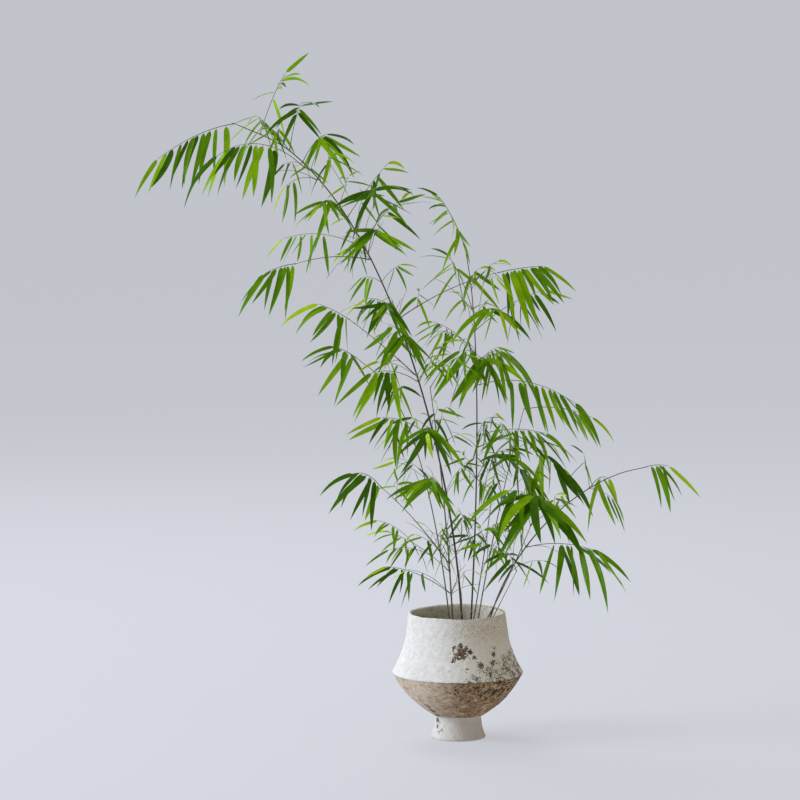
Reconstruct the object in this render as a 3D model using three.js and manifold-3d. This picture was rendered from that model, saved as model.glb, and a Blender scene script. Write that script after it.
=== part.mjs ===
// Bamboo in a hand-built stoneware pot, about 1.1 m tall. Millimetres, +Z up, +X to the right, +Y to the back.
// The origin is the middle of the pot's flat foot.

import * as THREE from "three";
import { mergeVertices } from "three/addons/utils/BufferGeometryUtils.js";
import Module from "manifold-3d";

const wasm = await Module();
wasm.setup();

// The pot: a short foot, a bowl that opens to a sharp keel, and a concave shoulder up to the rim.
const foot = { radius: 45, edge: 3 };
const footWaist = { radius: 38, height: 14 };
const neck = { radius: 37.5, height: 36 };
const bowlSwell = { radius: 85, height: 62 };
const keel = { radius: 107.5, height: 109 };
const shoulderHollow = { radius: 83, height: 150 };
const rim = { radius: 80, height: 208, rounding: 1.5 };
const potFloor = { radius: 30, height: 50 };
const potWall = 5;
const potSides = 32;
const potSteps = 4;

// The soil lies below the rim, and every solid keeps this gap to what carries it.
const soilHeight = 166;
const gap = 0.3;

// Limbs are bent tubes with flat sides that taper to a share of their girth, and twigs are three-sided.
const limbSteps = 10;
const limbSides = 5;
const limbTaper = 0.42;
const droopPower = 6;
const boughGirth = 2;
const twigGirth = 2.2;
const twigSides = 3;
const twigTaper = 0.75;
const stemSteps = 4;
const stemCrest = 9;
const sideTwig = { steps: 3, share: 0.5, shortest: 45, leaves: 5, leafy: 0.4 };

// A leaf: half its width and where it is broadest, as shares of its length, its thickness there, and the size of
// its root, which lies in the middle of its twig. The leaf room, a share of its half width, stays clear of other
// sprays and of limbs. Leaves of one spray may lie closer: the lap room is a share of both their rooms, kept
// between their outer parts. No leaf hangs down to the pot's rim.
const blade = { halfWidth: 0.062, broadest: 0.36, thinnest: 1.1, slimness: 80, root: 0.35 };
const leafRoom = 0.85;
const lapRoom = 0.4;
const lowestLeaf = rim.height + 4;

// Seeds for the growth, and how often a leaf that would touch something is tried again.
const firstSeed = 1009;
const seedStep = 211;
const tries = 4;

// Culms: where each one stands on the soil, its length and girth, its lean from upright at the foot, the arch
// that is added evenly on the way up, the droop added towards the tip, and its heading and how far that turns.
const culms = {
  tall: { foot: [8, -6], length: 975, lean: 3, arch: 31, droop: 46, heading: 190, turn: -30, girth: 3.6 },
  middle: { foot: [20, 22], length: 645, lean: 5, arch: 4, droop: 12, heading: 52, turn: 70, girth: 3.2 },
  left: { foot: [-8, -22], length: 420, lean: 5, arch: 5, droop: 0, heading: 235, turn: -20, girth: 3.2 },
  right: { foot: [44, -8], length: 408, lean: 12, arch: 58, droop: 14, heading: -20, turn: 30, girth: 2.8 },
  left_arch: { foot: [-12, 10], length: 498, lean: 6, arch: 16, droop: 42, heading: 150, turn: 20, girth: 2.4 },
  right_upright: { foot: [28, 5], length: 385, lean: 12, arch: 8, droop: 0, heading: 40, turn: 0, girth: 2.4 },
  right_slant: { foot: [28, -22], length: 252, lean: 33, arch: -10, droop: 0, heading: -35, turn: 0, girth: 2.4 },
  inner_back: { foot: [22, 40], length: 300, lean: 16, arch: 2, droop: 0, heading: 50, turn: 20, girth: 2.4 },
  front_low: { foot: [38, -30], length: 130, lean: 27, arch: 0, droop: 0, heading: -25, turn: 10, girth: 2 },
};

// Boughs: the longest side branches. Each leaves its limb at a share of the limb's length and reaches to the
// right, back and up, and its middle rises by the crest.
const boughs = {
  long_right: { limb: "tall", at: 0.55, reach: [165, 40, 75], crest: 10 },
  low_left: { limb: "tall", at: 0.66, reach: [-120, -30, -5], crest: 8 },
  wing_left: { limb: "left", at: 0.3, reach: [-110, -40, 130], crest: 8 },
  far_left: { limb: "tall", at: 0.45, reach: [-110, 40, 90], crest: 3 },
};

// Sprays of foliage, by the limb that carries them. A stem is given as a bough is. Its leaves are given as their
// number and length, and start at the leafy share of the stem. Hang pulls them down, and fan spreads them to
// both sides. Twigs is the number of side twigs, where there are any.
const sprays = {
  tall: {
    tip: { at: 1, reach: [-125, -10, -58], leaves: [11, 80], leafy: 0.1, hang: 1.3, fan: 0 },
    under: { at: 0.84, reach: [-160, -70, 20], crest: 36, leaves: [12, 82], leafy: 0.35, hang: 1.1, fan: 0.3 },
    crest: { at: 0.92, reach: [-35, 60, 45], leaves: [9, 62], leafy: 0.4, hang: 1, fan: 0.6 },
    top: { at: 0.95, reach: [42, 20, 102], leaves: [7, 66], leafy: 0.5, hang: 0.4, fan: 0.3 },
    hand_near: { at: 0.89, reach: [20, -50, 78], leaves: [8, 62], leafy: 0.7, hang: 1.1, fan: 0.9 },
    hand_far: { at: 0.86, reach: [38, 60, 48], leaves: [9, 76], leafy: 0.65, hang: 0.9, fan: 0.9 },
    inner: { at: 0.81, reach: [15, -30, 50], leaves: [6, 64], leafy: 0.5, hang: 1.5, fan: 0.6 },
    node_left: { at: 0.82, reach: [-55, 30, -10], leaves: [4, 68], leafy: 0.75, hang: 2.2, fan: 0 },
    mid_left: { at: 0.76, reach: [-30, -60, 10], leaves: [9, 64], leafy: 0.5, hang: 0.9, fan: 0.6 },
    mid_right: { at: 0.74, reach: [66, 60, 88], crest: 3, leaves: [6, 58], leafy: 0.6, hang: 1.1, fan: 0.3 },
    right_up: { at: 0.69, reach: [65, 90, 70], leaves: [6, 62], leafy: 0.6, hang: 0.2, fan: 0.4 },
    hand_upper: { at: 0.71, reach: [35, -90, 80], leaves: [10, 72], leafy: 0.65, hang: 0.8, fan: 1 },
    hand_lower: { at: 0.67, reach: [15, -120, 45], leaves: [11, 68], leafy: 0.65, hang: 0.7, fan: 1 },
    left_high: { at: 0.68, reach: [-135, 70, 15], crest: 15, leaves: [8, 56], leafy: 0.5, hang: 1.1, fan: 0.2 },
    palm_near: { at: 0.56, reach: [-15, -70, 20], leaves: [11, 62], leafy: 0.55, hang: 0.8, fan: 0.8, twigs: 1 },
    palm_low: { at: 0.5, reach: [-5, -60, 25], leaves: [11, 70], leafy: 0.5, hang: 1, fan: 0.8, twigs: 1 },
    left_low: { at: 0.44, reach: [-75, -60, 20], leaves: [9, 82], leafy: 0.5, hang: 1.2, fan: 0.3 },
    fan_left: { at: 0.34, reach: [-85, -40, 40], leaves: [9, 72], leafy: 0.5, hang: 1, fan: 0.3 },
    fan_near: { at: 0.35, reach: [-10, -90, 10], leaves: [10, 80], leafy: 0.55, hang: 0.7, fan: 1 },
  },
  long_right: {
    tip: { at: 1, reach: [75, 20, 10], crest: 2, leaves: [11, 82], leafy: 0.1, hang: 1.1, fan: 0.1 },
  },
  low_left: {
    tip: { at: 1, reach: [-50, -20, -15], crest: 3, leaves: [8, 84], leafy: 0.1, hang: 1.3, fan: 0.1 },
  },
  far_left: {
    tip: { at: 1, reach: [-50, 10, 25], crest: 2, leaves: [8, 74], leafy: 0.1, hang: 1.2, fan: 0.1 },
  },
  left_arch: {
    tip: { at: 1, reach: [-35, -20, 20], crest: 2, leaves: [8, 80], leafy: 0.15, hang: 0.8, fan: 0.3 },
  },
  left: {
    inner: { at: 0.57, reach: [-25, -60, 35], leaves: [11, 76], leafy: 0.55, hang: 0.8, fan: 1 },
    low: { at: 0.18, reach: [-105, -45, 52], leaves: [8, 60], leafy: 0.6, hang: 0.7, fan: 0.4 },
    back: { at: 0.27, reach: [-105, 90, 55], leaves: [10, 44], leafy: 0.45, hang: 0.7, fan: 0.2, twigs: 2 },
    crown: { at: 1, reach: [50, -30, 55], leaves: [6, 48], leafy: 0.4, hang: 0.9, fan: 0.3, twigs: 1 },
  },
  wing_left: {
    tip: { at: 1, reach: [-45, -20, 25], leaves: [9, 78], leafy: 0.1, hang: 0.9, fan: 0.2 },
  },
  middle: {
    tip: { at: 1, reach: [-45, 20, 85], leaves: [14, 58], leafy: 0.08, hang: 0.7, fan: 0.5 },
    riser: { at: 0.83, reach: [-40, 50, 90], leaves: [10, 60], leafy: 0.6, hang: 0.8, fan: 0.5, twigs: 1 },
    hand: { at: 0.81, reach: [40, -80, 20], leaves: [9, 70], leafy: 0.55, hang: 0.8, fan: 1 },
    far: { at: 0.78, reach: [120, 70, 65], leaves: [9, 64], leafy: 0.5, hang: 1.2, fan: 0.1 },
    near: { at: 0.72, reach: [-70, 60, 50], leaves: [9, 48], leafy: 0.4, hang: 0.8, fan: 0.3, twigs: 1 },
    palm: { at: 0.69, reach: [15, -90, 15], leaves: [12, 84], leafy: 0.5, hang: 1.3, fan: 0.9, twigs: 3 },
    comb: { at: 0.64, reach: [160, -40, -25], crest: 20, leaves: [11, 82], leafy: 0.35, hang: 1.2, fan: 0.1 },
    fringe: { at: 0.51, reach: [110, -60, 10], leaves: [11, 72], leafy: 0.45, hang: 0.9, fan: 0.3, twigs: 1 },
    rise: { at: 0.48, reach: [150, 60, -50], crest: 33, leaves: [9, 88], leafy: 0.72, hang: 0.8, fan: 0.6 },
    small: { at: 0.4, reach: [35, -50, 50], leaves: [8, 52], leafy: 0.45, hang: 0.7, fan: 0.5, twigs: 3 },
  },
  right_upright: {
    tip: { at: 1, reach: [110, -40, -10], leaves: [8, 64], leafy: 0.4, hang: 1, fan: 0.1 },
  },
  right_slant: {
    tip: { at: 1, reach: [-5, -30, 25], leaves: [12, 96], leafy: 0.15, hang: 1.1, fan: 1, twigs: 1 },
  },
  inner_back: {
    tip: { at: 1, reach: [64, 30, -50], leaves: [12, 76], leafy: 0.5, hang: 0.8, fan: 0.9, twigs: 1 },
  },
  right: {
    under: { at: 0.41, reach: [112, -60, 2], leaves: [11, 94], leafy: 0.4, hang: 1, fan: 0.5 },
    tip: { at: 1, reach: [38, -10, 3], crest: 3, leaves: [6, 76], leafy: 0.1, hang: 1.3, fan: 0.1 },
    mid: { at: 0.76, reach: [35, 60, 10], leaves: [4, 78], leafy: 0.4, hang: 1.6, fan: 0.3 },
  },
  front_low: {
    tip: { at: 1, reach: [-20, -30, 35], leaves: [9, 56], leafy: 0.2, hang: 0.8, fan: 0.6, twigs: 2 },
  },
};

const radians = THREE.MathUtils.degToRad;
const mix = THREE.MathUtils.lerp;
const up = new THREE.Vector3(0, 0, 1);
const vector = (x, y, z) => new THREE.Vector3(x, y, z);

// A seeded row of numbers between 0 and 1.
class Dice {
  constructor(seed) {
    this.state = seed;
  }

  between(low, high) {
    this.state = (this.state * 16807) % 2147483647;
    return mix(low, high, this.state / 2147483647);
  }
}

// The line of a culm: its direction is worked out afresh at every step.
function culmPath({ foot: [x, y], length, lean, arch, droop, heading, turn }) {
  const path = [vector(x, y, soilHeight + gap)];
  for (let step = 0; step < limbSteps; step++) {
    const share = (step + 0.5) / limbSteps;
    const tilt = radians(lean + arch * share + droop * share ** droopPower);
    const compass = radians(heading + turn * share);
    const way = vector(Math.sin(tilt) * Math.cos(compass), Math.sin(tilt) * Math.sin(compass), Math.cos(tilt));
    path.push(way.multiplyScalar(length / limbSteps).add(path[step]));
  }
  return path;
}

// The line of a bough or twig: straight from its root, with its middle lifted by the crest.
function bowPath(root, reach, crest, steps) {
  return Array.from({ length: steps + 1 }, (_, step) => {
    const share = step / steps;
    return root.clone().addScaledVector(reach, share).addScaledVector(up, 4 * crest * share * (1 - share));
  });
}

// The point at a share of a path, with the direction there and the level direction across it.
function stationOf(path, share) {
  const place = share * (path.length - 1);
  const step = Math.min(Math.floor(place), path.length - 2);
  const along = path[step + 1].clone().sub(path[step]).normalize();
  const across = up.clone().cross(along).normalize();
  return { point: path[step].clone().lerp(path[step + 1], place - step), along, across };
}

const radiusAt = (girth, taper, share) => (girth / 2) * mix(1, taper, share);

// A limb's or twig's first point is moved out of its carrier's middle, to a gap clear of its skin or tip.
function seat(path, carrier, at, radius) {
  const way = path[1].clone().sub(path[0]).normalize();
  const cosine = Math.abs(stationOf(carrier.path, at).along.dot(way));
  const sine = Math.sqrt(1 - cosine * cosine);
  const thickness = radiusAt(carrier.girth, limbTaper, at);
  const out = at < 1 ? (thickness + gap + radius * cosine) / sine : gap + thickness * sine;
  path[0].addScaledVector(way, out);
}

// A closed tube with flat ends round a path. A level foot is cut flat where the limb stands on the soil.
function tube(path, girth, taper, sides, levelFoot) {
  const vertices = [];
  const triangles = [];
  let outward = vector(1, 0, 0);
  path.forEach((point, step) => {
    const before = path[Math.max(step - 1, 0)];
    const after = path[Math.min(step + 1, path.length - 1)];
    const along = levelFoot && step === 0 ? up.clone() : after.clone().sub(before).normalize();
    outward = outward.clone().addScaledVector(along, -outward.dot(along)).normalize();
    const sideways = along.clone().cross(outward);
    const radius = radiusAt(girth, taper, step / (path.length - 1));
    for (let side = 0; side < sides; side++) {
      const turn = (2 * Math.PI * side) / sides;
      const corner = point.clone().addScaledVector(outward, radius * Math.cos(turn));
      vertices.push(...corner.addScaledVector(sideways, radius * Math.sin(turn)));
    }
  });
  for (let step = 0; step < path.length - 1; step++) {
    for (let side = 0; side < sides; side++) {
      const here = step * sides + side;
      const next = step * sides + ((side + 1) % sides);
      triangles.push(here, next, next + sides, here, next + sides, here + sides);
    }
  }
  const last = (path.length - 1) * sides;
  for (let side = 1; side < sides - 1; side++) {
    triangles.push(0, side + 1, side, last, last + side, last + side + 1);
  }
  return { vertices, triangles };
}

// A blade of ten faces: a small sunk root, a broad keeled waist and a point.
function bladeOf({ root, waist, tip, broad, length }) {
  const along = waist.clone().sub(root).normalize();
  const crown = broad.clone().cross(along).normalize();
  const width = blade.halfWidth * length;
  const keelHeight = Math.max(blade.thinnest, length / blade.slimness);
  const ring = (centre, half, rise) => [
    centre.clone().addScaledVector(broad, half),
    centre.clone().addScaledVector(crown, rise),
    centre.clone().addScaledVector(broad, -half),
  ];
  const corners = [...ring(root, blade.root, blade.root), ...ring(waist, width, keelHeight), tip];
  return {
    vertices: corners.flatMap((corner) => [...corner]),
    triangles: [0, 1, 2, 0, 4, 1, 0, 3, 4, 1, 5, 2, 1, 4, 5, 2, 3, 0, 2, 5, 3, 3, 6, 4, 4, 6, 5, 5, 6, 3],
  };
}

// The distance between two straight lines of limited length.
function distanceBetween(first, second) {
  const { span: u } = first;
  const { span: v } = second;
  const apart = first.from.clone().sub(second.from);
  const [uu, uv, vv, uw, vw] = [u.dot(u), u.dot(v), v.dot(v), u.dot(apart), v.dot(apart)];
  const parallel = uu * vv - uv * uv;
  const clamp = (share) => Math.min(Math.max(share, 0), 1);
  const start = parallel > 1e-9 ? clamp((uv * vw - vv * uw) / parallel) : 0;
  const onSecond = clamp((uv * start + vw) / vv);
  const onFirst = clamp((uv * onSecond - uw) / uu);
  return apart.addScaledVector(u, onFirst).addScaledVector(v, -onSecond).length();
}

// What has grown so far, as lines with the room that each one takes.
const grown = [];

function linesOf(path, owner, room) {
  return path.slice(1).map((to, step) => {
    const from = path[step];
    const span = to.clone().sub(from);
    const centre = from.clone().lerp(to, 0.5);
    return { from, span, centre, half: span.length() / 2, owner, room };
  });
}

function linesOfLeaf({ root, waist, tip, length }, owner) {
  const [inner, outer] = linesOf([root, waist, tip], owner, leafRoom * blade.halfWidth * length);
  return [inner, { ...outer, free: true }];
}

function roomBetween(line, other) {
  const room = line.room + other.room;
  if (line.owner !== other.owner) {
    return room + gap;
  }
  return line.free && other.free ? lapRoom * room : 0;
}

function touches(line, other) {
  const room = roomBetween(line, other);
  if (room === 0 || line.centre.distanceTo(other.centre) > line.half + other.half + room) {
    return false;
  }
  return distanceBetween(line, other) < room;
}

function isClear(lines) {
  const low = lines.some(({ from, span }) => from.z + span.z < lowestLeaf);
  return !low && !lines.some((line) => grown.some((other) => touches(line, other)));
}

function turnedTowards(start, side, angle) {
  return start.clone().multiplyScalar(Math.cos(angle)).addScaledVector(side, Math.sin(angle));
}

// One leaf: it leaves its twig to one side, less so towards the twig's end, hangs, and sags along its length.
function leafAt(station, side, along, spray, dice) {
  const last = along === 1;
  const angle = radians(last ? 12 : dice.between(75, 90) - 55 * along);
  const around = radians(dice.between(-40, 40));
  const hang = spray.hang * dice.between(0.75, 1.25) * (1.3 - 0.8 * along);
  const length = spray.leaves[1] * dice.between(0.72, 1.1) * (1.06 - 0.16 * along);
  const sag = dice.between(0.02, 0.2);
  const roll = radians(90 * spray.fan + dice.between(-35, 35));
  const sideways = turnedTowards(station.across, station.along.clone().cross(station.across), around);
  const way = station.along.clone().multiplyScalar(Math.cos(angle));
  way.addScaledVector(sideways, side * Math.sin(angle) * (0.55 + 0.75 * spray.fan));
  way.addScaledVector(up, -hang).normalize();
  let broad = station.along.clone().addScaledVector(way, -station.along.dot(way));
  if (broad.length() < 0.15) {
    broad = station.across.clone().addScaledVector(way, -station.across.dot(way));
  }
  broad.normalize();
  broad = turnedTowards(broad, way.clone().cross(broad), roll);
  const pointAt = (share) => {
    const straight = station.point.clone().addScaledVector(way, length * share);
    return straight.addScaledVector(up, -sag * length * share ** 2);
  };
  return { root: station.point, waist: pointAt(blade.broadest), tip: pointAt(1), broad, length };
}

// The leaves along one twig. One that would touch a limb or another leaf is tried again and then left out.
function leavesOn(path, count, leafy, spray, owner, dice) {
  const leaves = [];
  for (let leaf = 0; leaf < count; leaf++) {
    const along = leaf / (count - 1);
    const share = along < 1 ? leafy + ((1 - leafy) * (leaf + dice.between(0, 0.6))) / count : 1;
    const side = leaf % 2 ? 1 : -1;
    for (let attempt = 0; attempt < tries; attempt++) {
      const found = leafAt(stationOf(path, share), side, along, spray, dice);
      const lines = linesOfLeaf(found, owner);
      if (isClear(lines)) {
        grown.push(...lines);
        leaves.push(found);
        break;
      }
    }
  }
  return leaves;
}

// A side twig leaves the stem to one side, a little upwards.
function sideTwigPath(stem, share, length, dice) {
  const { point, along, across } = stationOf(stem, share);
  const side = dice.between(-1, 1) < 0 ? -1 : 1;
  const way = along.multiplyScalar(0.5).addScaledVector(across, 0.8 * side);
  way.addScaledVector(up, dice.between(-0.2, 0.5)).normalize();
  return bowPath(point, way.multiplyScalar(length), 0.1 * length, sideTwig.steps);
}

function solidOf({ vertices, triangles }) {
  const vertProperties = new Float32Array(vertices);
  return new wasm.Manifold(new wasm.Mesh({ numProp: 3, vertProperties, triVerts: new Uint32Array(triangles) }));
}

// All of a spray in one solid: its stem, its side twigs and its leaves.
function growSpray({ name, spray, stem }, seed) {
  const { leaves: [leafCount], leafy: bareShare, twigs: twigCount = 0 } = spray;
  const dice = new Dice(seed);
  const length = Math.max(sideTwig.share * vector(...spray.reach).length(), sideTwig.shortest);
  const twigs = [{ path: stem, count: leafCount, leafy: bareShare }];
  for (let twig = 0; twig < twigCount; twig++) {
    const share = 0.25 + (0.5 * (twig + dice.between(0.1, 0.9))) / twigCount;
    for (let attempt = 0; attempt < tries; attempt++) {
      const path = sideTwigPath(stem, share, length, dice);
      const lines = linesOf(path, name, twigGirth / 2);
      if (isClear(lines)) {
        grown.push(...lines);
        twigs.push({ path, count: sideTwig.leaves, leafy: sideTwig.leafy });
        break;
      }
    }
  }
  const leaves = twigs.flatMap(({ path, count, leafy }) => leavesOn(path, count, leafy, spray, name, dice));
  const pieces = twigs.map(({ path }) => solidOf(tube(path, twigGirth, twigTaper, twigSides, false)));
  pieces.push(...leaves.map((leaf) => solidOf(bladeOf(leaf))));
  const fused = pieces.reduce((whole, piece) => whole.add(piece));
  const bodies = fused.decompose().sort((one, other) => other.volume() - one.volume());
  return bodies[0].getMesh();
}

function geometryOf(vertices, triangles) {
  const geometry = new THREE.BufferGeometry();
  geometry.setAttribute("position", new THREE.Float32BufferAttribute(vertices, 3));
  geometry.setIndex(new THREE.Uint32BufferAttribute(triangles, 1));
  return geometry;
}

// Points of a curve from one place on the pot's outline to another, by way of a control place.
function curve(from, by, to, steps) {
  const place = ({ radius, height }) => new THREE.Vector2(radius, height);
  return new THREE.QuadraticBezierCurve(place(from), place(by), place(to)).getPoints(steps);
}

// The outline from the foot's middle up to the rim, over the lip and down to the middle of the floor inside.
function potOutline() {
  const inset = (place) => ({ ...place, radius: place.radius - potWall });
  const rimEdge = { radius: rim.radius, height: rim.height - rim.rounding };
  const footTop = { radius: foot.radius, height: foot.edge };
  const outside = [
    new THREE.Vector2(0, 0),
    new THREE.Vector2(foot.radius - foot.edge, 0),
    ...curve(footTop, footWaist, neck, potSteps).slice(0, -1),
    ...curve(neck, bowlSwell, keel, potSteps).slice(0, -1),
    ...curve(keel, shoulderHollow, rimEdge, potSteps),
    new THREE.Vector2(rim.radius - rim.rounding, rim.height),
  ];
  return { outside, inside: insideOutline(inset, rimEdge) };
}

function insideOutline(inset, rimEdge) {
  return [
    new THREE.Vector2(rim.radius - potWall + rim.rounding, rim.height),
    ...curve(inset(rimEdge), inset(shoulderHollow), inset(keel), potSteps).slice(0, -1),
    ...curve(inset(keel), inset(bowlSwell), potFloor, potSteps),
    new THREE.Vector2(0, potFloor.height),
  ];
}

// The soil's outline is the inside of the pot, a gap smaller, up to the level of the soil.
function soilOutline(inside) {
  const below = inside.filter(({ y }) => y < soilHeight);
  const above = inside[inside.length - below.length - 1];
  const share = (soilHeight - below[0].y) / (above.y - below[0].y);
  const edge = new THREE.Vector2(mix(below[0].x, above.x, share) - gap, soilHeight);
  const wall = below.slice(0, -1).map(({ x, y }) => new THREE.Vector2(x - gap, y + gap));
  return [new THREE.Vector2(0, soilHeight), edge, ...wall, new THREE.Vector2(0, potFloor.height + gap)];
}

function turned(outline) {
  const geometry = new THREE.LatheGeometry(outline, potSides).rotateX(Math.PI / 2);
  geometry.deleteAttribute("normal");
  geometry.deleteAttribute("uv");
  return mergeVertices(geometry, 1e-4);
}

const stoneware = new THREE.MeshStandardMaterial({ color: "#d9d3c8", roughness: 0.9, metalness: 0 });
const soilMix = new THREE.MeshStandardMaterial({ color: "#4b4338", roughness: 1, metalness: 0 });
const culmGreen = new THREE.MeshStandardMaterial({ color: "#5c5a40", roughness: 0.55, metalness: 0 });
const foliage = new THREE.MeshStandardMaterial({ color: "#4a8f16", roughness: 0.5, metalness: 0 });

const bamboo = new THREE.Group();

function addPiece(name, geometry, material) {
  const piece = new THREE.Mesh(geometry, material);
  piece.name = name;
  bamboo.add(piece);
}

const { outside, inside } = potOutline();
addPiece("pot", turned([...outside, ...inside]), stoneware);
addPiece("soil", turned(soilOutline(inside).reverse()), soilMix);

// The culms stand on the soil, and the boughs grow on them.
const limbs = {};
for (const [name, culm] of Object.entries(culms)) {
  limbs[name] = { node: `culm_${name}`, path: culmPath(culm), girth: culm.girth, levelFoot: true };
}
for (const [name, { limb, at, reach, crest }] of Object.entries(boughs)) {
  const carrier = limbs[limb];
  const path = bowPath(stationOf(carrier.path, at).point, vector(...reach), crest, limbSteps);
  seat(path, carrier, at, boughGirth / 2);
  limbs[name] = { node: `bough_${name}`, path, girth: boughGirth, levelFoot: false };
}
for (const [name, { node, path, girth, levelFoot }] of Object.entries(limbs)) {
  const { vertices, triangles } = tube(path, girth, limbTaper, limbSides, levelFoot);
  addPiece(node, geometryOf(vertices, triangles), culmGreen);
  grown.push(...linesOf(path, name, girth / 2));
}

// All the stems take their places before any leaf does.
const crown = [];
for (const [limb, carried] of Object.entries(sprays)) {
  for (const [place, spray] of Object.entries(carried)) {
    const { at, reach, crest = stemCrest } = spray;
    const name = `spray_${limb}_${place}`;
    const stem = bowPath(stationOf(limbs[limb].path, at).point, vector(...reach), crest, stemSteps);
    seat(stem, limbs[limb], at, twigGirth / 2);
    grown.push(...linesOf(stem, name, twigGirth / 2));
    crown.push({ name, spray, stem });
  }
}
crown.forEach((grower, index) => {
  const { vertProperties, triVerts } = growSpray(grower, firstSeed + seedStep * index);
  addPiece(grower.name, geometryOf(vertProperties, triVerts), foliage);
});

export default bamboo;
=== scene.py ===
# Bamboo in a hand-built stoneware pot, about 1.1 m tall. Metres, +Z up, +X to the right, +Y to the back.
# The pot and the plant are given in millimetres, and turned into metres where their meshes are made.
import math
import random
import bpy
import numpy as np
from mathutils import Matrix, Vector, noise


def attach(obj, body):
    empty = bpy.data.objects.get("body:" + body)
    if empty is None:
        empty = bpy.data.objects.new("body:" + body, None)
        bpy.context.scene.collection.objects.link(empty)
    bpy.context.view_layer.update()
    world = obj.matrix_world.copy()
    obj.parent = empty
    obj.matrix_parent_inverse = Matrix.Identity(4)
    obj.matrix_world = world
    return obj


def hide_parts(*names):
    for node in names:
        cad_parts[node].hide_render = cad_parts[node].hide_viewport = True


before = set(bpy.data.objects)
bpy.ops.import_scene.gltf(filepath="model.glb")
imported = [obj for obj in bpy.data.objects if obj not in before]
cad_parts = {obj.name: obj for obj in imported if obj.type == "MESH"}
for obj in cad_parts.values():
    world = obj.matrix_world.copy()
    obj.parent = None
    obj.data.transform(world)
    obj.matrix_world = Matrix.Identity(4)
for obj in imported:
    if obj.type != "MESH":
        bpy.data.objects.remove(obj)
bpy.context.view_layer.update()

# The studio: a pale seamless floor that rises to a wall all round, a large soft window light at the left, a
# weaker one above and behind, and a low warm reflector at the right.


def linear(colour):
    """The shader's colour for an sRGB hex value."""
    parts = [int(colour[i : i + 2], 16) / 255 for i in (1, 3, 5)]
    return (*[p / 12.92 if p <= 0.04045 else ((p + 0.055) / 1.055) ** 2.4 for p in parts], 1)


def add_node(tree, kind, inputs=(), **settings):
    """A node with its settings, and with values, colours as sRGB hex, or links at its inputs."""
    node = tree.nodes.new(kind)
    for name, value in settings.items():
        setattr(node, name, value)
    for name, value in dict(inputs).items():
        if isinstance(value, bpy.types.NodeSocket):
            tree.links.new(value, node.inputs[name])
        else:
            node.inputs[name].default_value = linear(value) if isinstance(value, str) else value
    return node


def new_material(name):
    """An empty material, with the tree and the output that its nodes go to."""
    material = bpy.data.materials.new(name)
    material.use_nodes = True
    material.node_tree.nodes.clear()
    return material, material.node_tree, add_node(material.node_tree, "ShaderNodeOutputMaterial")


# The floor lies half a millimetre under the pot, and bends up in a quarter round.
floor_radius, floor_height = 9, -0.0005
cove_radius, cove_steps, wall_rise = 4, 12, 6
bpy.ops.object.select_all(action="DESELECT")
bpy.ops.mesh.primitive_circle_add(
    vertices=96, radius=floor_radius, fill_type="NGON", location=(0, 0, floor_height)
)
cove = bpy.context.object
cove.name = "studio_cove"
bpy.ops.object.mode_set(mode="EDIT")
bpy.ops.mesh.select_all(action="SELECT")
bpy.ops.mesh.select_mode(type="EDGE")
bpy.ops.mesh.region_to_loop()
for turn in range(1, cove_steps + 1):
    bend = math.radians(90 * turn / cove_steps)
    last_bend = math.radians(90 * (turn - 1) / cove_steps)
    rise = cove_radius * (math.cos(last_bend) - math.cos(bend))
    radius = floor_radius + cove_radius * math.sin(bend)
    wider = radius / (floor_radius + cove_radius * math.sin(last_bend))
    bpy.ops.mesh.extrude_edges_move(TRANSFORM_OT_translate={"value": (0, 0, rise)})
    bpy.ops.transform.resize(value=(wider, wider, 1), center_override=(0, 0, 0))
bpy.ops.mesh.extrude_edges_move(TRANSFORM_OT_translate={"value": (0, 0, wall_rise)})
bpy.ops.mesh.select_all(action="SELECT")
bpy.ops.mesh.normals_make_consistent(inside=True)
bpy.ops.object.mode_set(mode="OBJECT")
bpy.ops.object.shade_smooth()
# Opal acrylic that is lit from behind gives an even pale ground with no gloss.
paint, tree, output = new_material("opal_acrylic_lit_from_behind")
opal = add_node(
    tree, "ShaderNodeBsdfPrincipled",
    {"Base Color": "#74767b", "Roughness": 0.95, "Emission Color": "#dcdee6", "Emission Strength": 0.61},
)
tree.links.new(opal.outputs[0], output.inputs[0])
cove.data.materials.append(paint)

world = bpy.data.worlds.new("studio_daylight")
bpy.context.scene.world = world
world.use_nodes = True
sky_colour, sky_strength = world.node_tree.nodes["Background"].inputs[:2]
sky_colour.default_value, sky_strength.default_value = linear("#f4f3f0"), 0.45
# Each light has its place and side in metres, its power in watts and its colour, and aims at the plant.
plant_middle = Vector((0, 0, 0.6))
for name, place, side, power, colour in (
    ("window_left", (-3.9, -0.9, 2.3), 2.2, 152, "#f3f6ff"),
    ("top_back", (-1.2, 2.4, 3.4), 2.0, 70, "#ffffff"),
    ("warm_reflector_right", (2.8, -2.0, 0.3), 1.8, 19, "#ffd08c"),
):
    bpy.ops.object.light_add(type="AREA", location=place)
    lamp = bpy.context.object
    lamp.name = name
    lamp.data.shape, lamp.data.size, lamp.data.energy = "SQUARE", side, power
    lamp.data.color = linear(colour)[:3]
    lamp.rotation_euler = (plant_middle - Vector(place)).to_track_quat("-Z", "Y").to_euler()

# The camera stands 5.2 m in front of the pot and looks down by 5 degrees.
camera_place, camera_tilt = (-0.096, -5.2115, 1.0135), 5
bpy.ops.object.camera_add(location=camera_place, rotation=(math.radians(90 - camera_tilt), 0, 0))
camera = bpy.context.object
camera.data.lens, camera.data.sensor_width = 144, 36
camera.data.clip_end = 60
bpy.context.scene.camera = camera
bpy.context.scene.view_settings.view_transform = "Standard"

# The pot: coarse stoneware clay, built up by hand on a turned foot. White slip covers the shoulder and the
# foot, and has flaked off at the right. Below the keel the brushed clay shows, with pits and iron specks.
MM = 0.001


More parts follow.
